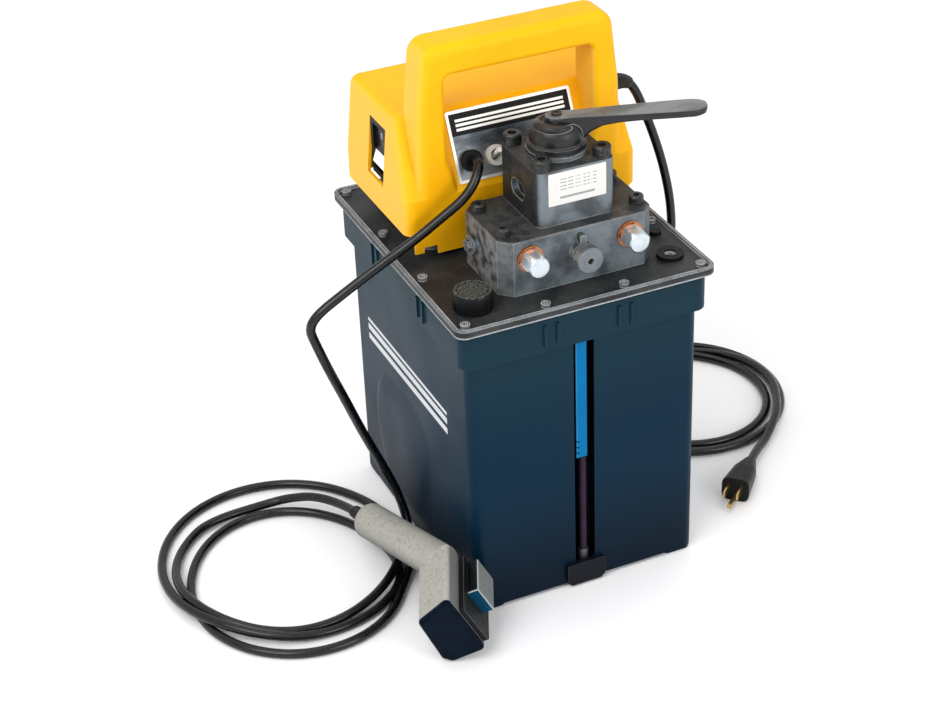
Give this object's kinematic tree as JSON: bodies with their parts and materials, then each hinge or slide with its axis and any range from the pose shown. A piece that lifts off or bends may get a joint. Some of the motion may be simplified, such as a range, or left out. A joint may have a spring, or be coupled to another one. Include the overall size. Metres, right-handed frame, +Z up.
{
  "type": "hydraulic power unit",
  "caption": "Portable electric hydraulic power unit: oil reservoir with sight gauge, shrouded motor with loop handle, hand lever valve on a ported manifold, pendant switch on a coiled cord",
  "frame": {"origin": "middle of the reservoir's base, on the surface that the feet stand on", "axes": "+Z up; -Y is the front, with the sight gauge; -X is the side with the pendant"},
  "size_m": [0.6945, 0.3946, 0.4995],
  "materials": {
    "tank_enamel": "dark blue enamel, semi-gloss",
    "lid_black": "dark grained enamel, satin",
    "shroud_yellow": "satin moulded plastic, yellow",
    "dark_iron": "dark oxide, edges worn bright",
    "screw_steel": "black oxide steel",
    "plug_steel": "bright zinc plate",
    "copper": "copper",
    "motor_steel": "grey paint",
    "core_steel": "laminations and shaft steel",
    "pump_aluminium": "machined aluminium",
    "mesh_steel": "woven strainer",
    "black_plastic": "black moulded plastic",
    "black_rubber": "black rubber, slightly glossy",
    "grip_rubber": "dark grey grained rubber",
    "white_plastic": "white moulded plastic",
    "grey_plastic": "light grey moulded plastic",
    "gauge_blue": "bright blue plastic strip",
    "gauge_tube": "dark plastic tube",
    "label_silver": "anodised plate",
    "label_white": "white data plate",
    "blade_brass": "brass"
  },
  "bodies": {
    "unit": {"reservoir_tank": "tank_enamel", "lid_gasket": "black_rubber", "lid_plate": "lid_black", "lid_screws": "screw_steel", "sight_tube": "gauge_tube", "level_strip": "gauge_blue", "gauge_fittings": "plug_steel", "gauge_bracket": "black_plastic", "filler_neck": "pump_aluminium", "lid_port_plugs": "black_plastic", "vent_insert": "grey_plastic", "shroud": "shroud_yellow", "motor_base": "dark_iron", "shroud_screws": "screw_steel", "motor_housing": "motor_steel", "motor_stator": "core_steel", "motor_end_cap": "motor_steel", "motor_bearings": "core_steel", "control_electrics": "grey_plastic", "pump_body": "pump_aluminium", "pump_pistons": "core_steel", "intake_strainer": "mesh_steel", "oil_pipes": "core_steel", "control_panel": "label_silver", "pendant_gland": "black_plastic", "toggle_body": "grey_plastic", "switch_frame": "black_plastic", "manifold": "dark_iron", "manifold_screws": "screw_steel", "copper_washers": "copper", "port_plugs": "plug_steel", "side_plug": "dark_iron", "relief_body": "dark_iron", "valve_body": "dark_iron", "valve_screws": "screw_steel", "data_plate": "label_white", "valve_collar": "dark_iron", "pendant_grip": "grip_rubber", "pendant_cap": "black_rubber", "pendant_frame": "grey_plastic", "pendant_relief": "black_rubber", "pendant_cord": "black_rubber", "pendant_lead": "black_rubber", "power_cord": "black_rubber", "plug_lead": "black_rubber", "pendant_coil": "black_rubber", "power_coil": "black_rubber", "power_gland": "black_rubber", "plug_body": "black_rubber", "plug_blades": "blade_brass"},
    "lever": {"valve_lever": "dark_iron", "valve_rotor": "core_steel", "lever_screw": "screw_steel"},
    "motor_shaft": {"motor_rotor": "core_steel", "motor_fan": "black_plastic"},
    "switch_rocker": {"main_rocker": "white_plastic"},
    "toggle": {"toggle_lever": "white_plastic"},
    "relief_knob": {"relief_adjuster": "motor_steel"},
    "cap": {"filler_cap": "black_plastic"},
    "pendant_button": {"pendant_rocker": "black_plastic"}
  },
  "joints": [
    {"name": "valve_lever_turn", "type": "hinge", "parent": "unit", "child": "lever", "pos_m": [0.012, -0.059, 0.409], "axis": [0, 0, 1], "range_deg": [-35, 35]},
    {"name": "motor_spin", "type": "hinge", "parent": "unit", "child": "motor_shaft", "pos_m": [0, 0.064, 0.35], "axis": [0, 0, 1], "continuous": true},
    {"name": "switch_rock", "type": "hinge", "parent": "unit", "child": "switch_rocker", "pos_m": [-0.095, 0.052, 0.383], "axis": [0, 1, 0], "range_deg": [-16, 0]},
    {"name": "toggle_tilt", "type": "hinge", "parent": "unit", "child": "toggle", "pos_m": [-0.022, -0.00167, 0.38171], "axis": [1, 0, 0], "range_deg": [0, 26]},
    {"name": "relief_turn", "type": "hinge", "parent": "unit", "child": "relief_knob", "pos_m": [0.008, -0.122, 0.332], "axis": [0, 1, 0], "range_deg": [0, 360]},
    {"name": "cap_lift", "type": "slide", "parent": "unit", "child": "cap", "axis": [0, 0, 1], "range_m": [0, 0.025]},
    {"name": "pendant_press", "type": "hinge", "parent": "unit", "child": "pendant_button", "pos_m": [-0.12282, -0.15719, 0.0507], "axis": [0.4602, -0.0101, -0.8878], "range_deg": [-4, 4], "stiffness_Nm_per_rad": 0.05}
  ]
}
